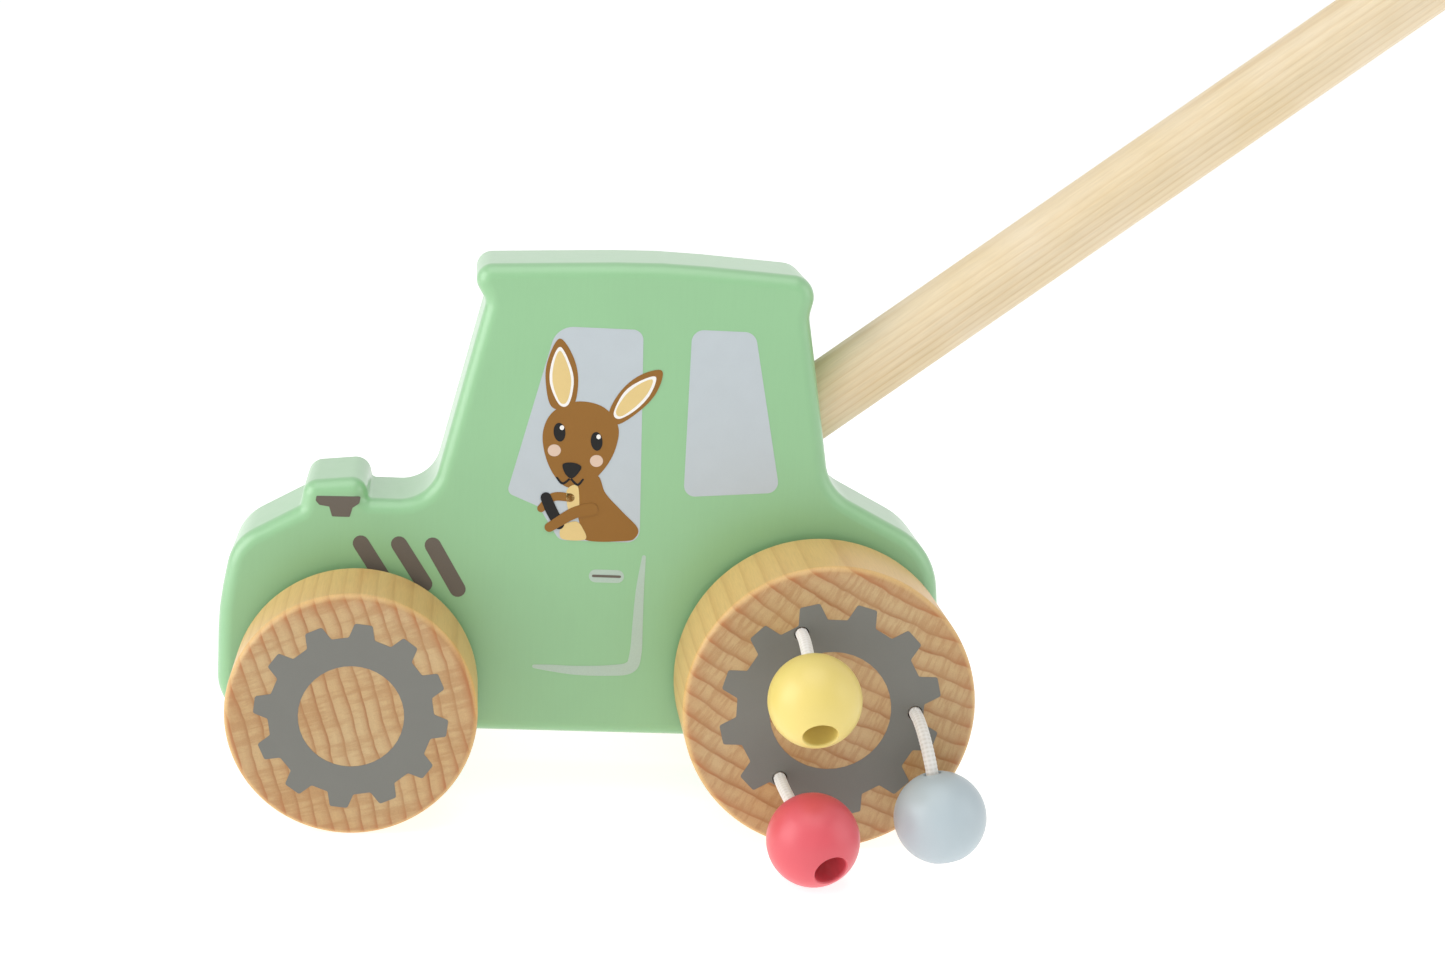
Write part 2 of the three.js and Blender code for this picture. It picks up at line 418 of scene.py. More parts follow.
def cordRoute(values, side):
    # the cord's line from its back knot through the wheel, out and down, and through its bead
    bend, lean = (math.radians(values[k]) for k in ("droop", "lean"))
    out = Vector((0, side, 0))
    down = Vector((-math.sin(lean), 0, -math.cos(lean)))
    hole = holePlace(values)
    pivot = hole + out * (cordWay["wheelFace"] + cordWay["lead"])
    arcRadius = (values["free"] - cordWay["lead"]) / bend
    turns = [bend * k / cordWay["arcSteps"] for k in range(cordWay["arcSteps"] + 1)]
    arc = [pivot + out * arcRadius * math.sin(a) + down * arcRadius * (1 - math.cos(a)) for a in turns]
    axis = out * math.cos(bend) + down * math.sin(bend)
    centre = arc[-1] + axis * beadWay["radius"]
    knot = centre + axis * (beadWay["mouthFloor"] + knotWay["gap"] + knotWay["halfHeight"])
    backKnot = hole + out * cordWay["backKnot"]
    inWheel = [backKnot.lerp(pivot, k / 8) for k in range(8)]
    inBead = [arc[-1].lerp(knot, k / 6) for k in range(1, 7)]
    points = inWheel + arc + inBead + [knot + axis * cordWay["tail"]]
    exit = hole + out * cordWay["wheelFace"]
    return {"points": points, "pivot": pivot, "exit": exit, "axis": axis, "out": out,
            "centre": centre, "knot": knot, "backKnot": backKnot}


def evenly(points, step):
    # places along the line a step apart, with the line's direction at each
    lengths = [0]
    for a, b in zip(points, points[1:]):
        lengths.append(lengths[-1] + (b - a).length)
    count = math.ceil(lengths[-1] / step)
    made, at = [], 0
    for k in range(count + 1):
        far = min(lengths[-1] * k / count, lengths[-1] - 1e-9)
        while lengths[at + 1] < far:
            at += 1
        part = (far - lengths[at]) / (lengths[at + 1] - lengths[at])
        made.append((points[at].lerp(points[at + 1], part), far))
    return made


def tubeMesh(name, places, sides, radiusAt, closed=False):
    # rings of points round a line; radiusAt(angle, distance) gives each point's radius
    count = len(places)
    verts, faces = [], []
    across = None
    for i, (here, far) in enumerate(places):
        before = places[i - 1][0] if i or closed else here
        after = places[(i + 1) % count][0] if i < count - 1 or closed else here
        ahead = (after - before).normalized()
        if across is None:
            across = ahead.orthogonal().normalized()
        across = (across - ahead * across.dot(ahead)).normalized()
        other = ahead.cross(across)
        for k in range(sides):
            angle = math.tau * k / sides
            verts.append(here + (across * math.cos(angle) + other * math.sin(angle)) * radiusAt(angle, far))
    for i in range(count if closed else count - 1):
        for k in range(sides):
            a, b = i * sides + k, i * sides + (k + 1) % sides
            c, d = (b + sides) % (count * sides), (a + sides) % (count * sides)
            faces.append((a, b, c, d))
    if not closed:
        faces.append(tuple(range(sides))[::-1])
        faces.append(tuple(range((count - 1) * sides, count * sides)))
    mesh = bpy.data.meshes.new(name)
    mesh.from_pydata([tuple(v) for v in verts], [], faces)
    piece = bpy.data.objects.new(name, mesh)
    bpy.context.collection.objects.link(piece)
    return piece


def plait(angle, far):
    # how far a point stands above or below the cord's own radius, from -1 to 1
    turn = cordWay["plaits"] * angle / 2
    run = math.tau * far / cordWay["plaitLength"] / 2
    return math.cos(turn + run) * math.cos(turn - run)


def wovenTube(name, points, radius, closed=False, sides=None):
    places = evenly(points, cordWay["ringEvery"])
    if closed:
        places = places[:-1]
    sides = sides or cordWay["sides"]
    length = places[-1][1]
    cutEnd, cutShare = cordWay["cutEnd"], cordWay["cutShare"]

    def radiusAt(angle, far):
        share = 1
        near = min(far, length - far)
        if near <= cutEnd and not closed:
            share = cutShare + (1 - cutShare) * math.sqrt(1 - (1 - near / cutEnd) ** 2)
        return radius * share + cordWay["plaitHeight"] * plait(angle, far)

    piece = tubeMesh(name, places, sides, radiusAt, closed)
    # how high each point of the weave stands, from 0 down between strands to 1 on their tops; the cord's
    # material paints shade and highlight from it
    weave = piece.data.attributes.new("weave", "FLOAT", "POINT")
    values = [0.5 + 0.5 * plait(math.tau * k / sides, far) for here, far in places for k in range(sides)]
    weave.data.foreach_set("value", values)
    pickOnly(piece)
    bpy.ops.object.shade_smooth()
    return piece


def addKnot(name, centre, axis, material, body, node):
    # the cord laid over and under itself in a trefoil, pulled tight
    strand = knotWay["strand"]
    wide = (knotWay["radius"] - strand) / 3
    tall = knotWay["halfHeight"] - strand
    turn = Vector((0, 0, 1)).rotation_difference(axis).to_matrix()
    line = []
    for k in range(knotWay["steps"] + 1):
        t = math.tau * k / knotWay["steps"]
        flat = Vector((math.sin(t) + 2 * math.sin(2 * t), math.cos(t) - 2 * math.cos(2 * t), 0)) * wide
        line.append(centre + turn @ (flat + Vector((0, 0, -math.sin(3 * t) * tall))))
    knot = wovenTube(name, line, strand, closed=True, sides=knotWay["sides"])
    return dress(knot, material, body, [node])


def addBead(name, route, material, body, node):
    # a turned ball, bored through, with a wider mouth for the knot and softened rims
    radius, bore, mouth, floor, rim = (beadWay[k] for k in ("radius", "bore", "mouth", "mouthFloor", "rim"))
    start, end = -math.acos((bore + rim) / radius), math.acos((mouth + rim) / radius)
    ballSteps = 30
    angles = [start + (end - start) * k / ballSteps for k in range(ballSteps + 1)]
    ball = [(radius * math.cos(a), radius * math.sin(a)) for a in angles]

    def roll(edge, fromBall, inward):
        # a rounded rim from the ball's surface to the wall of the hole
        first, last = Vector(fromBall), Vector((edge, fromBall[1] - inward * rim * 1.6))
        middle = Vector((edge + rim * 0.2, fromBall[1] + inward * rim * 0.05))
        return [tuple(first.lerp(middle, t).lerp(middle.lerp(last, t), t)) for t in (0.25, 0.5, 0.75, 1)]

    profile = ball + roll(mouth, ball[-1], 1)
    profile += [(mouth, floor + rim), (mouth - rim * 0.3, floor + rim * 0.3), (mouth - rim, floor)]
    profile += [(bore + rim, floor), (bore + rim * 0.3, floor - rim * 0.3), (bore, floor - rim)]
    profile += roll(bore, ball[0], -1)[::-1]
    bead = turnedPiece(name, profile, steps=72)
    turn = Vector((0, 1, 0)).rotation_difference(route["axis"]).to_matrix().to_4x4()
    bead.matrix_world = Matrix.Translation(route["centre"]) @ turn
    settle(bead)
    smooth(bead)
    return dress(bead, material, body, [node])


# the cord's colours over its weave: painted shade down between the strands, the cotton's own white on their
# flanks, and a painted highlight on their tops
cottonLook = {
    "shadedGrooves": (214, 209, 200), "flanks": (234, 231, 224), "litCrowns": (246, 244, 240), "relief": 0.00008,
}


def cordMaterial():
    material, tree, shader = newMaterial("wovenCotton", 0.85, Sheen_Weight=0.35, Sheen_Roughness=0.5)
    weave = place(tree, "ShaderNodeAttribute", attribute_name="weave").outputs["Fac"]
    where = ownPlace(tree)
    fibre = noise(tree, where, 9, 4, 0.7)
    shadedGrooves, flanks, litCrowns = (tint(*cottonLook[k]) for k in ("shadedGrooves", "flanks", "litCrowns"))
    # painted shade in the weave's hollows and painted highlight on its raised strands, following the weave's
    # height
    colour = ramp(tree, weave, [(0.0, shadedGrooves), (0.35, flanks), (1.0, litCrowns)])
    shade = ramp(tree, fibre, [(0.3, 0.86), (0.7, 1.0)])
    tree.links.new(darken(tree, colour, shade, 0.7), shader.inputs["Base Color"])
    tree.links.new(bump(tree, fibre, 0.5, cottonLook["relief"]), shader.inputs["Normal"])
    return material


def skinGroup():
    # the slight unevenness of a brushed or dipped coat of paint
    takes = {"Vector": "Vector", "Grain": "Float", "Speckle": "Float"}
    makes = {"Shade": "Float", "Gloss": "Float", "Height": "Float"}
    group, given, gives = newGroup("paintSkin", takes, makes)
    where = given["Vector"]
    broad = noise(group, where, 0.05, 2)
    drawn = place(group, "ShaderNodeMapping", {"Vector": where, "Scale": (1.4, 1.4, 0.12)}).outputs[0]
    streak = calc(group, "SUBTRACT", noise(group, drawn, 1.1, 5, 0.6), 0.5)
    grain = calc(group, "MULTIPLY", streak, given["Grain"])
    fine = noise(group, where, 2.6, 3, 0.6)
    shade = calc(group, "ADD", calc(group, "MULTIPLY_ADD", broad, 0.08, 0.96), grain)
    speck = calc(group, "MULTIPLY_ADD", calc(group, "SUBTRACT", fine, 0.5), given["Speckle"], shade)
    gloss = calc(group, "MULTIPLY_ADD", noise(group, where, 0.35, 3), 0.16, 0.36)
    height = calc(group, "MULTIPLY_ADD", fine, 0.35, calc(group, "MULTIPLY", grain, 3.0))
    group.links.new(speck, gives["Shade"])
    group.links.new(gloss, gives["Gloss"])
    group.links.new(height, gives["Height"])
    return group


paintSkin = skinGroup()


def paintMaterial(name, colour, grain=0.0, speckle=0.03, bumpHeight=0.00003, coat=0.3):
    material, tree, shader = newMaterial(name, 0.42, Coat_Weight=coat, Coat_Roughness=0.28)
    skin = useGroup(tree, paintSkin, {"Vector": ownPlace(tree), "Grain": grain, "Speckle": speckle})
    painted = darken(tree, tint(*colour), greyOf(tree, skin["Shade"]))
    tree.links.new(painted, shader.inputs["Base Color"])
    tree.links.new(skin["Gloss"], shader.inputs["Roughness"])
    tree.links.new(bump(tree, skin["Height"], 0.35, bumpHeight), shader.inputs["Normal"])
    return material


def addBeadCord(colour, sideName, cotton, beadPaint):
    values, side = beadCords[colour], sides[sideName]
    route = cordRoute(values, side)
    root, hanging = f"{colour}_root_{sideName}", f"{colour}_hanging_{sideName}"
    cord = wovenTube(f"{colour}_cord_{sideName}", smoothLine(route["points"], closed=False, steps=6),
                     cordWay["radius"])
    dress(cord, cotton, None, [f"{colour}_cord_root_{sideName}", f"{colour}_cord_free_{sideName}"])
    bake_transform(cord)
    endKnot = addKnot(f"{colour}_knot_end_{sideName}", route["knot"], route["axis"], cotton, hanging,
                      f"{colour}_end_knot_{sideName}")
    backKnot = addKnot(f"{colour}_knot_back_{sideName}", route["backKnot"], route["out"], cotton, root,
                       f"{colour}_back_knot_{sideName}")
    bead = addBead(f"{colour}_ball_{sideName}", route, beadPaint, hanging, f"{colour}_bead_{sideName}")


cotton = cordMaterial()
for colour, values in beadCords.items():
    beadPaint = paintMaterial(f"{colour}BeadPaint", values["paint"])
    for sideName in sides:
        addBeadCord(colour, sideName, cotton, beadPaint)
print("cords, knots and beads made")


def ringGroup():
    # growth rings round a pith, rays across them and pores along the grain; Y is along the grain
    takes = {"Vector": "Vector", "Pith distance": "Float", "Ring width": "Float", "Wander": "Float",
             "Ray scale": "Float"}
    group, given, gives = newGroup("woodRings", takes, {"Rings": "Float", "Rays": "Float", "Pores": "Float"})
    split = place(group, "ShaderNodeSeparateXYZ", {0: given["Vector"]}).outputs
    far = calc(group, "SQRT", calc(group, "ADD", squared(group, split[0]), squared(group, split[2])))
    aroundPith = calc(group, "MULTIPLY", calc(group, "ARCTAN2", split[2], split[0]), given["Pith distance"])
    along = calc(group, "MULTIPLY", split[1], 0.06)
    local = place(group, "ShaderNodeCombineXYZ", {0: far, 1: along, 2: aroundPith}).outputs[0]
    drift = calc(group, "SUBTRACT", noise(group, local, 0.075, 3, 0.55), 0.5)
    sway = calc(group, "MULTIPLY", drift, given["Wander"])
    swayed = calc(group, "DIVIDE", calc(group, "ADD", far, sway), given["Ring width"])
    phase = calc(group, "FRACT", swayed)
    rings = ramp(group, phase, [(0.0, 0.1), (0.35, 0.0), (0.72, 0.35), (0.93, 1.0), (1.0, 0.1)])
    yearly = place(group, "ShaderNodeCombineXYZ", {0: calc(group, "FLOOR", swayed)}).outputs[0]
    strength = calc(group, "MULTIPLY_ADD", noise(group, yearly, 0.73, 2), 1.2, 0.25)
    patchy = calc(group, "MULTIPLY_ADD", noise(group, local, 0.11, 3), 1.0, 0.4)
    shown = calc(group, "MULTIPLY", calc(group, "MULTIPLY", rings, strength), patchy, clamp=True)
    rayPlace = place(group, "ShaderNodeMapping", {"Vector": local, "Scale": (0.16, 0.5, 1.0)}).outputs[0]
    rays = ramp(group, noise(group, rayPlace, given["Ray scale"], 3, 0.6), [(0.46, 0.0), (0.6, 1.0)])
    drawn = {"Vector": given["Vector"], "Scale": (1, 0.05, 1)}
    porePlace = place(group, "ShaderNodeMapping", drawn).outputs[0]
    group.links.new(shown, gives["Rings"])
    group.links.new(rays, gives["Rays"])
    group.links.new(noise(group, porePlace, 3.2, 4, 0.65), gives["Pores"])
    return group


woodRings = ringGroup()


def addTread(tree, colour, here, wood, pores, rim):
    # the long grain of the tread is paler and yellower than the end grain of the faces
    split = place(tree, "ShaderNodeSeparateXYZ", {0: here}).outputs
    across = calc(tree, "SQRT", calc(tree, "ADD", squared(tree, split[0]), squared(tree, split[2])))
    tread = calc(tree, "DIVIDE", calc(tree, "SUBTRACT", across, rim["from"]), rim["over"], clamp=True)
    # where the rim is rounded over, its cut fibres show darker and redder
    past = calc(tree, "SUBTRACT", across, rim["from"] - rim["burntOver"])
    near = calc(tree, "DIVIDE", past, rim["burntOver"], clamp=True)
    burn = calc(tree, "MULTIPLY_ADD", wood["Rings"], 0.75, 0.14)
    colour = blendColour(tree, calc(tree, "MULTIPLY", near, burn), colour, tint(*rim["burnt"]))
    lines = calc(tree, "MULTIPLY", wood["Rings"], 0.5)
    longGrain = blendColour(tree, lines, tint(*rim["pale"]), tint(*rim["dark"]))
    return blendColour(tree, tread, colour, darken(tree, longGrain, pores))


def woodMaterial(name, look, centre, pith, turn=(0, 0, 0), rim=None):
    # centre is a point on the piece's own axis, in metres; pith is where the tree's middle lay, in mm
    material, tree, shader = newMaterial(name, look["rough"], Coat_Weight=look["coat"], Coat_Roughness=0.35)
    here = ownPlace(tree, centre, turn)
    fromPith = place(tree, "ShaderNodeVectorMath", {0: here, 1: pith}, operation="SUBTRACT").outputs[0]
    distance = math.hypot(pith[0], pith[2])
    wood = useGroup(tree, woodRings, {"Vector": fromPith, "Pith distance": distance,
                                      "Ring width": look["ringWidth"], "Wander": look["wander"],
                                      "Ray scale": look["rayScale"]})
    colour = blendColour(tree, wood["Rings"], tint(*look["pale"]), tint(*look["dark"]))
    rays = calc(tree, "MULTIPLY", wood["Rays"], look["rays"])
    colour = blendColour(tree, rays, colour, tint(*look["ray"]))
    pores = ramp(tree, wood["Pores"], [(0.3, 1.0 - look["pores"]), (0.65, 1.0)])
    colour = darken(tree, colour, pores)
    broad = ramp(tree, noise(tree, here, 0.045, 2), [(0.35, tint(*look["warm"])), (0.65, (1, 1, 1, 1))])
    colour = darken(tree, colour, broad, 0.7)
    if rim:
        colour = addTread(tree, colour, here, wood, pores, rim)
    tree.links.new(colour, shader.inputs["Base Color"])
    height = calc(tree, "MULTIPLY_ADD", wood["Rings"], -0.6, wood["Pores"])
    tree.links.new(bump(tree, height, 0.3, look["relief"]), shader.inputs["Normal"])
    return material


wheelWay = {
    "front": {
        "radius": 0.028, "inner": 0.01605, "outer": 0.04025, "bore": 0.0041, "boreDepth": 0.015,
        "body": "front_wheels", "pith": (287, 0, -87), "ringWidth": 3.3, "wander": 2.5, "rayScale": 0.5,
    },
    "rear": {
        "radius": 0.0334, "inner": 0.01595, "outer": 0.04325, "bore": 0.0041, "boreDepth": 0.017,
        "body": "rear_wheels", "pith": (-80, 0, 171), "ringWidth": 4.3, "wander": 3.5, "rayScale": 0.9,
    },
}
wheelEdge = {"round": 0.0018, "steps": 8, "boreRim": 0.0004}
cordHole = {"radius": 0.0017, "knotRadius": 0.0039, "knotDepth": 0.007}
wheelWood = {
    "pale": (198, 168, 121), "dark": (158, 102, 50), "ray": (172, 128, 78), "warm": (249, 235, 216),
    "rays": 0.5, "pores": 0.12, "rough": 0.45, "coat": 0.25, "relief": 0.00005,
}
# the tread's wood starts a little inside the rim, in mm, and the burnt edge inside that
treadWood = {
    "pale": (224, 183, 116), "dark": (190, 134, 70), "burnt": (176, 108, 56),
    "inside": 1.2, "over": 1.0, "burntOver": 3.2,
}
gearPrint = {
    "front": {"hole": 0.0117, "root": 0.0183, "tip": 0.0215, "turned": 5.9},
    "rear": {"hole": 0.01385, "root": 0.0214, "tip": 0.0253, "turned": 15.3},
}
gearTeeth = {"count": 12, "rootHalf": 9.0, "tipHalf": 5.2, "corner": 0.0006}
ink = {"thick": 0.00006, "sunk": 0.0001}


def wheelProfile(way):
    radius, inner, outer, bore = (way[k] for k in ("radius", "inner", "outer", "bore"))
    edge, steps, boreRim = (wheelEdge[k] for k in ("round", "steps", "boreRim"))
    floor = inner + way["boreDepth"]
    profile = [(0, floor), (bore, floor), (bore, inner + boreRim), (bore + boreRim, inner)]
    profile += [(radius * 0.5, inner), (radius - edge, inner)]
    for middle, first in ((inner + edge, -90), (outer - edge, 0)):
        for k in range(1 if first else 0, steps + 1):
            angle = math.radians(first + 90 * k / steps)
            profile.append((radius - edge + edge * math.cos(angle), middle + edge * math.sin(angle)))
    profile += [(radius - edge - 0.0005, outer), (radius * 0.6, outer), (radius * 0.3, outer), (0, outer)]
    return profile


def holeCutters(way, side):
    # each cord's hole goes right through, and has a wider pocket for the back knot
    cutters = []
    for values in beadCords.values():
        at = holePlace(values)
        low, high = sorted((side * (way["inner"] - mm), side * (way["outer"] + mm)))
        cutters.append(dowelPiece("hole", cordHole["radius"], low, high, at, sides=40))
        low, high = sorted((side * (way["inner"] - mm), side * (way["inner"] + cordHole["knotDepth"])))
        cutters.append(dowelPiece("pocket", cordHole["knotRadius"], low, high, at, sides=48))
    return cutters


def gearLoop(values, centre):
    # a ring gear's outline: each tooth is a short trapezium with softened corners
    pitch = 360 / gearTeeth["count"]
    corners = []
    for k in range(gearTeeth["count"]):
        middle = values["turned"] + pitch * k
        for half, reach in ((-gearTeeth["rootHalf"], "root"), (-gearTeeth["tipHalf"], "tip"),
                            (gearTeeth["tipHalf"], "tip"), (gearTeeth["rootHalf"], "root")):
            angle = math.radians(middle + half)
            corners.append((centre.x + values[reach] * math.cos(angle),
                            centre.z + values[reach] * math.sin(angle), gearTeeth["corner"]))
    return cornerLoop(corners, stepDegrees=15)


def addWheel(which, sideName, wood, inkGrey):
    way, side = wheelWay[which], sides[sideName]
    centre = frontAxle if which == "front" else rearAxle
    node = f"{which}_wheel_{sideName}"
    wheel = turnedPiece(f"{which}_disc_{sideName}", wheelProfile(way), steps=128, closed=False)
    wheel.matrix_world = Matrix.Translation((centre.x, 0, centre.z)) @ Matrix.Diagonal((1, side, 1, 1))
    settle(wheel)
    if side < 0:
        faceOut(wheel)
    if which == "rear":
        cutAway(wheel, *holeCutters(way, side))
    smooth(wheel)
    dress(wheel, wood, way["body"], [node])
    values = gearPrint[which]
    loops = [gearLoop(values, centre), ovalLoop(centre.x, centre.z, values["hole"], values["hole"])]
    if which == "rear":
        for one in beadCords.values():
            at = holePlace(one)
            loops.append(ovalLoop(at.x, at.z, cordHole["radius"], cordHole["radius"]))
    face = sorted((side * (way["outer"] - ink["sunk"]), side * (way["outer"] + ink["thick"])))
    gear = slab(f"{which}_gear_print_{sideName}", loops, *face)
    dress(gear, inkGrey, way["body"])


def inkMaterial(name, colour, worn=0.05):
    # ink on wood: the wood's pores show in it as fine specks
    material, tree, shader = newMaterial(name, 0.5, Specular_IOR_Level=0.3)
    where = ownPlace(tree)
    fine = noise(tree, where, 3.5, 3, 0.7)
    broad = noise(tree, where, 0.2, 2)
    shade = calc(tree, "ADD", calc(tree, "MULTIPLY_ADD", fine, 2 * worn, 1 - worn),
                 calc(tree, "MULTIPLY_ADD", broad, 0.06, -0.03))
    tree.links.new(darken(tree, tint(*colour), greyOf(tree, shade)), shader.inputs["Base Color"])
    tree.links.new(bump(tree, fine, 0.25, 0.00003), shader.inputs["Normal"])
    return material


gearInk = inkMaterial("gearInk", (119, 119, 113))
for which, way in wheelWay.items():
    centre = frontAxle if which == "front" else rearAxle
    look = {**wheelWood, **{k: way[k] for k in ("ringWidth", "wander", "rayScale")}}
    rim = {**treadWood, "from": way["radius"] / mm - treadWood["inside"]}
    wood = woodMaterial(f"{which}WheelBeech", look, centre, way["pith"], rim=rim)
    for sideName in sides:
        addWheel(which, sideName, wood, gearInk)
print("wheels made")


axleWay = {"radius": 0.004, "chamfer": 0.0006, "pith": (14, 0, 9)}
rodWay = {
    "radius": 0.00825, "rise": 37.85, "entry": (-0.105, 0.09564), "sunk": 0.035, "reach": 0.473,
    "chamfer": 0.0012, "pith": (26, 0, 18),
}
knobWay = {"radius": 0.014, "cover": 0.003, "socket": 0.0084, "gap": 0.0003, "rim": 0.0005, "steps": 32}
axleLook = {
    "pale": (222, 196, 148), "dark": (196, 158, 104), "ray": (205, 172, 124), "warm": (250, 240, 224),
    "rays": 0.2, "pores": 0.12, "rough": 0.6, "coat": 0.0, "relief": 0.00004,
    "ringWidth": 1.8, "wander": 2.0, "rayScale": 0.9,
}
rodLook = {
    "pale": (230, 213, 182), "dark": (217, 193, 154), "ray": (223, 202, 166), "warm": (249, 244, 228),
    "rays": 0.3, "pores": 0.1, "rough": 0.5, "coat": 0.12, "relief": 0.00003,
    "ringWidth": 1.7, "wander": 2.5, "rayScale": 0.9,
}


def softEnds(piece, width):
    finishWith(piece, "BEVEL", width=width, segments=3, limit_method="ANGLE", angle_limit=math.radians(50))
    return smooth(piece)


def addAxle(name, centre, body, material):
    low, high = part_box(name)
    at = Vector((centre.x, 0, centre.z))
    dowel = softEnds(dowelPiece(f"{name}_dowel", axleWay["radius"], low.y, high.y, at), axleWay["chamfer"])
    dress(dowel, material, body, [name])


def rodTurn():
    # the rod's direction, up and to the rear, and the turn that lays a piece's Y axis along it
    rise = math.radians(rodWay["rise"])
    along = Vector((-math.cos(rise), 0, math.sin(rise)))
    return along, Vector((0, 1, 0)).rotation_difference(along).to_matrix().to_4x4()


rodAlong, rodRotation = rodTurn()
rodEntry = Vector((frontAxle.x + rodWay["entry"][0], 0, rodWay["entry"][1]))


def addPushRod():
    turn = [math.degrees(a) for a in rodRotation.inverted().to_euler()]
    wood = woodMaterial("rodWood", rodLook, rodEntry, rodWay["pith"], turn)
    low, high = -rodWay["sunk"], rodWay["reach"]
    rod = dowelPiece("push_rod", rodWay["radius"], low, high, rodEntry, rodRotation, 96)
    softEnds(rod, rodWay["chamfer"])
    dress(rod, wood, "chassis", ["handle_rod"])
    radius, socket, floor = knobWay["radius"], knobWay["socket"], knobWay["cover"] + knobWay["gap"]
    start = -math.acos((socket + knobWay["rim"]) / radius)
    angles = [start + (math.pi / 2 - start) * k / knobWay["steps"] for k in range(knobWay["steps"])]
    profile = [(0, floor), (socket, floor), (socket, radius * math.sin(start) + 1.2 * knobWay["rim"])]
    profile += [(radius * math.cos(a), radius * math.sin(a)) for a in angles] + [(0, radius)]
    knob = turnedPiece("rod_knob", profile, steps=96, closed=False)
    middle = rodEntry + rodAlong * (rodWay["reach"] - knobWay["cover"])
    knob.matrix_world = Matrix.Translation(middle) @ rodRotation
    settle(knob)
    smooth(knob)
    dress(knob, wood, "chassis", ["handle_knob"])


axleWood = woodMaterial("axleWood", axleLook, frontAxle, axleWay["pith"])
addAxle("front_axle", frontAxle, "front_wheels", axleWood)
addAxle("rear_axle", rearAxle, "rear_wheels", axleWood)
addPushRod()
print("axles and push rod made")


bodyWay = {
    "halfWidth": 0.014, "edgeRound": 0.0035, "roundSteps": 8, "bore": 0.0041, "socketGap": 0.0001,
    "socketFloor": 0.0005, "paint": (136, 188, 136),
}
# each corner of the side view is (forward of the front axle, height, radius), in mm
bodyCorners = [
    (-137, 16, 8), (32.2, 16, 12), (32.2, 44, 60), (29.4, 60.1, 12),
    (14.1, 68.8, 1.2), (13.2, 74.7, 3.6), (-0.3, 76.2, 3.6), (-1.4, 71.1, 1.1),  # the air cleaner's bump
    (-15.3, 71.1, 9.2), (-26.4, 118, 2.5), (-21.5, 126.3, 3.7), (-66, 128.8, 200),  # windscreen and roof
    (-102.6, 126.9, 5.2), (-100.6, 117.9, 5), (-108.1, 77.2, 12), (-134.5, 63.9, 18), (-137, 43, 40),
]


def onSide(points):
    # print and body points are in mm forward of the front axle and up from the ground
    return [(frontAxle.x + x * mm, z * mm) for x, z in points]


def addBody():
    loop = onSide(cornerLoop(bodyCorners))
    half = bodyWay["halfWidth"]
    block = slab("tractor_body", [loop], -half, half)
    finishWith(block, "BEVEL", width=bodyWay["edgeRound"], segments=bodyWay["roundSteps"],
               limit_method="ANGLE", angle_limit=math.radians(60), use_clamp_overlap=False)
    bores = [dowelPiece("bore", bodyWay["bore"], -half - mm, half + mm, Vector((axle.x, 0, axle.z)))
             for axle in (frontAxle, rearAxle)]
    deep = rodWay["sunk"] + bodyWay["socketFloor"]
    wide = rodWay["radius"] + bodyWay["socketGap"]
    socket = dowelPiece("socket", wide, -deep, 20 * mm, rodEntry, rodRotation, 96)
    cutAway(block, *bores, socket)
    smooth(block)
    green = paintMaterial("bodyGreen", bodyWay["paint"], grain=0.05, speckle=0.02, bumpHeight=0.00004,
                          coat=1.0)
    dress(block, green, "chassis", ["body_block"])


addBody()
print("body made")


inkColours = {  # and how worn each print is
    "window": ((187, 196, 201), 0.03),
    "taupe": ((103, 96, 87), 0.09),
    "seam": ((178, 199, 186), 0.12),
    "brown": ((142, 98, 38), 0.06),
    "cream": ((222, 196, 134), 0.05),
    "black": ((14, 12, 11), 0.1),
    "white": ((240, 238, 234), 0.02),
    "blush": ((216, 190, 170), 0.04),
}
windows = [
    [(-42.6, 113.4, 5), (-62.3, 113.4, 2.5), (-64.1, 63.4, 3), (-45.4, 63.4, 2.5), (-40.3, 71.2, 1.5),
     (-32.9, 74.2, 1.6)],
    [(-73.4, 114, 2.8), (-88, 114, 3), (-96.1, 76.6, 2.6), (-73.7, 74.7, 2.6)],
]
louvres = {
    "lines": [((0, 61), (-6, 51.8)), ((-8.7, 61.1), (-14.8, 51.8)), ((-16.4, 61.1), (-22.5, 50.8))],
    "width": 3.7,
}
airCleaner = [(10.3, 71.8, 0.3), (0.3, 72, 0.3), (0.6, 70.4, 0.6), (2.1, 69.3, 0.3), (2.7, 67.1, 0.3),
              (6.7, 67.1, 0.3), (7.4, 69.4, 0.3), (9.6, 69.7, 0.5), (10.5, 70.7, 0.5)]
doorSeam = {
    "line": [(-65.3, 60), (-64.8, 52), (-64.7, 44), (-64.6, 36.5), (-63.4, 33.1), (-58.5, 32.2), (-51, 32),
             (-45, 32.4), (-41, 32.7)],
    "width": [0.9, 1.9, 2.4, 2.8, 2.9, 2.6, 2.2, 1.6, 0.9],
}
doorHandle = {"middle": (-56.8, 55.1), "half": (4.1, 1.55), "slot": 3.1, "slotWidth": 0.6}
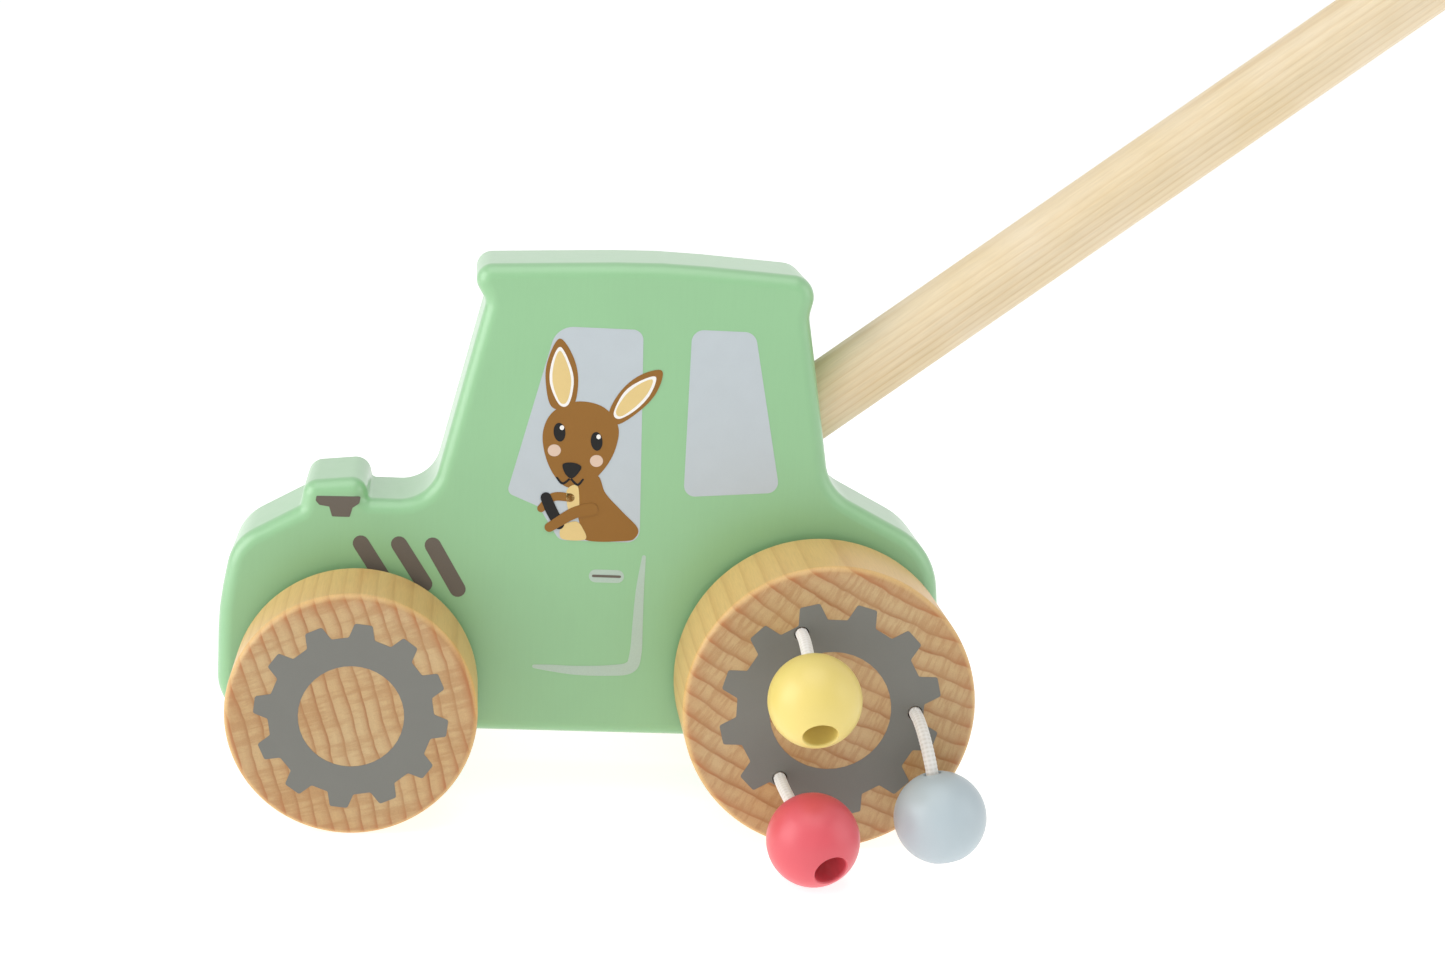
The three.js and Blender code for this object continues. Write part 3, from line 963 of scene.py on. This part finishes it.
# a plain kangaroo at a steering wheel: smooth outlines, strokes as lines and widths, and ovals
driver = {
    "brown": [
        [(-42.4, 94.6), (-40.7, 99.8), (-40.8, 105.2), (-43.3, 110.6), (-46.6, 106.6), (-48, 101), (-47, 95)],
        [(-55.4, 93.8), (-57.8, 99), (-62, 102.9), (-67, 104.2), (-66.2, 99.4), (-62.6, 94.8), (-57.4, 91.2)],
        [(-48, 96.2), (-54, 95.2), (-57.6, 91), (-57.5, 86.2), (-55.6, 81.6), (-52.4, 77.8), (-48.2, 75.8),
         (-44.6, 77.4), (-41.6, 82.4), (-40.5, 88.6), (-42.6, 93.6)],
        [(-49.4, 79), (-53.6, 79), (-55.6, 74.9), (-59.8, 70.6), (-63.4, 67), (-63, 64.6), (-60.4, 63.7),
         (-51.4, 63.7), (-49.8, 68), (-48.8, 73)],
    ],
    "arms": [([(-52.5, 71), (-48.5, 70), (-43, 66.4)], [3.0, 2.7, 2.2]),
             ([(-47.5, 73.6), (-43.6, 73.6), (-40.9, 70.8)], [2.0, 2.0, 1.8])],
    "cream": [
        [(-44, 96), (-42.2, 100.4), (-42.3, 104.8), (-43.5, 107.8), (-45.3, 104.9), (-46.4, 100.8),
         (-45.7, 96.2)],
        [(-57, 94.4), (-59, 98.2), (-62.2, 101), (-65, 102), (-64, 98.8), (-61.4, 95.6), (-58.2, 93.2)],
        [(-46.6, 75.2), (-48.9, 76.6), (-49.6, 73), (-49.4, 69.4), (-47.4, 70)],
        [(-45.9, 66.8), (-49, 68), (-50.6, 66.6), (-51.4, 63.8), (-46, 63.8)],
    ],
    "linings": [
        [(-43.9, 95.4), (-41.6, 100.2), (-41.8, 105.2), (-43.5, 108.7), (-45.8, 105.2), (-47, 100.8),
         (-46.1, 95.6)],
        [(-56.5, 94), (-58.6, 98.8), (-62.1, 101.6), (-65.7, 102.7), (-64.7, 98.7), (-61.7, 95),
         (-57.9, 92.6)],
    ],
    "cheeks": [(-43.3, 84.6, 1.5, 1.4), (-53.1, 82.5, 1.5, 1.4)],
    "eyes": [(-44.3, 88.9, 1.35, 2.2, -8), (-52.9, 87.1, 1.35, 2.2, -8)],
    "glints": [(-44.8, 90, 0.5, 0.55), (-53.3, 88.2, 0.5, 0.55)],
    "nose": [(-45.4, 81.4), (-47.6, 81.9), (-49.7, 81), (-48.6, 78.9), (-47.4, 78.2), (-46, 79.3)],
    "smile": [([(-44.2, 78.2), (-45.6, 76.9), (-47.3, 78.2)], [0.45, 0.55, 0.45]),
              ([(-47.3, 78.2), (-49, 76.7), (-50.2, 78)], [0.45, 0.55, 0.45])],
    "steering": ([(-41.9, 73.4), (-43.4, 70.2), (-45.2, 67.2)], [2.5, 2.6, 2.4]),
}


def addPrint(name, loops, layer, material):
    # the same print on both faces of the plank; a higher layer lies on the ones below it
    face = bodyWay["halfWidth"]
    for sideName, side in sides.items():
        film = sorted((side * (face - ink["sunk"]), side * (face + ink["thick"] * (layer + 1))))
        dress(slab(f"{name}_{sideName}", [onSide(loop) for loop in loops], *film), material, "chassis")


def addSidePrints():
    inks = {name: inkMaterial(f"{name}Ink", colour, worn) for name, (colour, worn) in inkColours.items()}
    louvreLoops = [strokeLoop(ends, [louvres["width"]] * 2) for ends in louvres["lines"]]
    (x, z), (wide, tall), slot = doorHandle["middle"], doorHandle["half"], doorHandle["slot"]
    handleLoop = strokeLoop([(x - wide + tall, z), (x + wide - tall, z)], [2 * tall] * 2)
    slotLoop = strokeLoop([(x - slot, z), (x + slot, z)], [doorHandle["slotWidth"]] * 2)
    addPrint("window_print", [cornerLoop(corners) for corners in windows], 0, inks["window"])
    addPrint("louvre_print", louvreLoops, 0, inks["taupe"])
    addPrint("air_cleaner_print", [cornerLoop(airCleaner)], 0, inks["taupe"])
    addPrint("door_seam_print", [strokeLoop(doorSeam["line"], doorSeam["width"])], 0, inks["seam"])
    addPrint("door_handle_print", [handleLoop], 0, inks["seam"])
    addPrint("door_handle_slot_print", [slotLoop], 1, inks["taupe"])
    for i, points in enumerate(driver["brown"]):
        addPrint(f"driver_coat_print_{i}", [smoothLoop(points)], 1 + 0.1 * i, inks["brown"])
    addPrint("driver_lining_print", [smoothLoop(points) for points in driver["linings"]], 1.6, inks["white"])
    addPrint("driver_fur_print", [smoothLoop(points) for points in driver["cream"]], 2, inks["cream"])
    addPrint("steering_wheel_print", [strokeLoop(*driver["steering"])], 3, inks["black"])
    for i, (line, width) in enumerate(driver["arms"]):
        addPrint(f"driver_arm_print_{i}", [strokeLoop(line, width)], 4 - 2 * i, inks["brown"])
    for name, layer, colour in (("cheek", 2, "blush"), ("eye", 2, "black"), ("glint", 3, "white")):
        ovals = [ovalLoop(*oval) for oval in driver[f"{name}s"]]
        addPrint(f"driver_{name}_print", ovals, layer, inks[colour])
    addPrint("driver_nose_print", [smoothLoop(driver["nose"])], 3, inks["black"])
    addPrint("driver_smile_print", [strokeLoop(*one) for one in driver["smile"]], 2, inks["black"])


addSidePrints()
print("side prints made")


studio = {
    "floorSize": 60.0,
    "floor": (205, 205, 205),
    "floorGlow": 0.76,  # keeps the floor white under a gentle light
    "surround": 0.28,  # how much the white tent lights the toy
    "tent": 1.0,  # how bright it looks, and how bright it mirrors in the paint
    "aim": (-0.05, 0.06),  # what the lights are aimed at, forward of the front axle and up
    "lights": {  # place from there, size and power
        "overhead": ((0.1, 0.3, 1.15), 1.1, 5.9),
        "leftSide": ((1.1, 0.32, 0.42), 1.0, 8.5),
        "rightSide": ((-1.1, 0.4, 0.5), 0.9, 3),
        "frontFill": ((0.35, 1.3, 0.6), 1.2, 1.5),
    },
}


def addStudio():
    scene = bpy.context.scene
    scene.view_settings.view_transform = "Standard"
    bpy.ops.object.select_all(action="DESELECT")
    bpy.ops.mesh.primitive_plane_add(size=studio["floorSize"])
    floor = bpy.context.object
    floor.name = "floor"
    material, tree, shader = newMaterial("floorPaper", 0.7)
    shader.inputs["Base Color"].default_value = tint(*studio["floor"])
    shader.inputs["Emission Color"].default_value = (1, 1, 1, 1)
    shader.inputs["Emission Strength"].default_value = studio["floorGlow"]
    floor.data.materials.append(material)
    world = bpy.data.worlds.new("surround")
    world.use_nodes = True
    tree = world.node_tree
    rays = place(tree, "ShaderNodeLightPath").outputs
    seen = calc(tree, "MAXIMUM", rays["Is Camera Ray"], rays["Is Glossy Ray"])
    strength = calc(tree, "MULTIPLY_ADD", seen, studio["tent"] - studio["surround"], studio["surround"])
    tree.nodes["Background"].inputs[0].default_value = (1, 1, 1, 1)
    tree.links.new(strength, tree.nodes["Background"].inputs[1])
    scene.world = world
    target = Vector((frontAxle.x + studio["aim"][0], 0, studio["aim"][1]))
    for name, (where, size, power) in studio["lights"].items():
        at = target + Vector(where)
        bpy.ops.object.light_add(type="AREA", location=at)
        light = bpy.context.object
        light.name = name
        light.data.size = size
        light.data.energy = power
        light.rotation_euler = (target - at).to_track_quat("-Z", "Y").to_euler()


addStudio()
print("studio set")
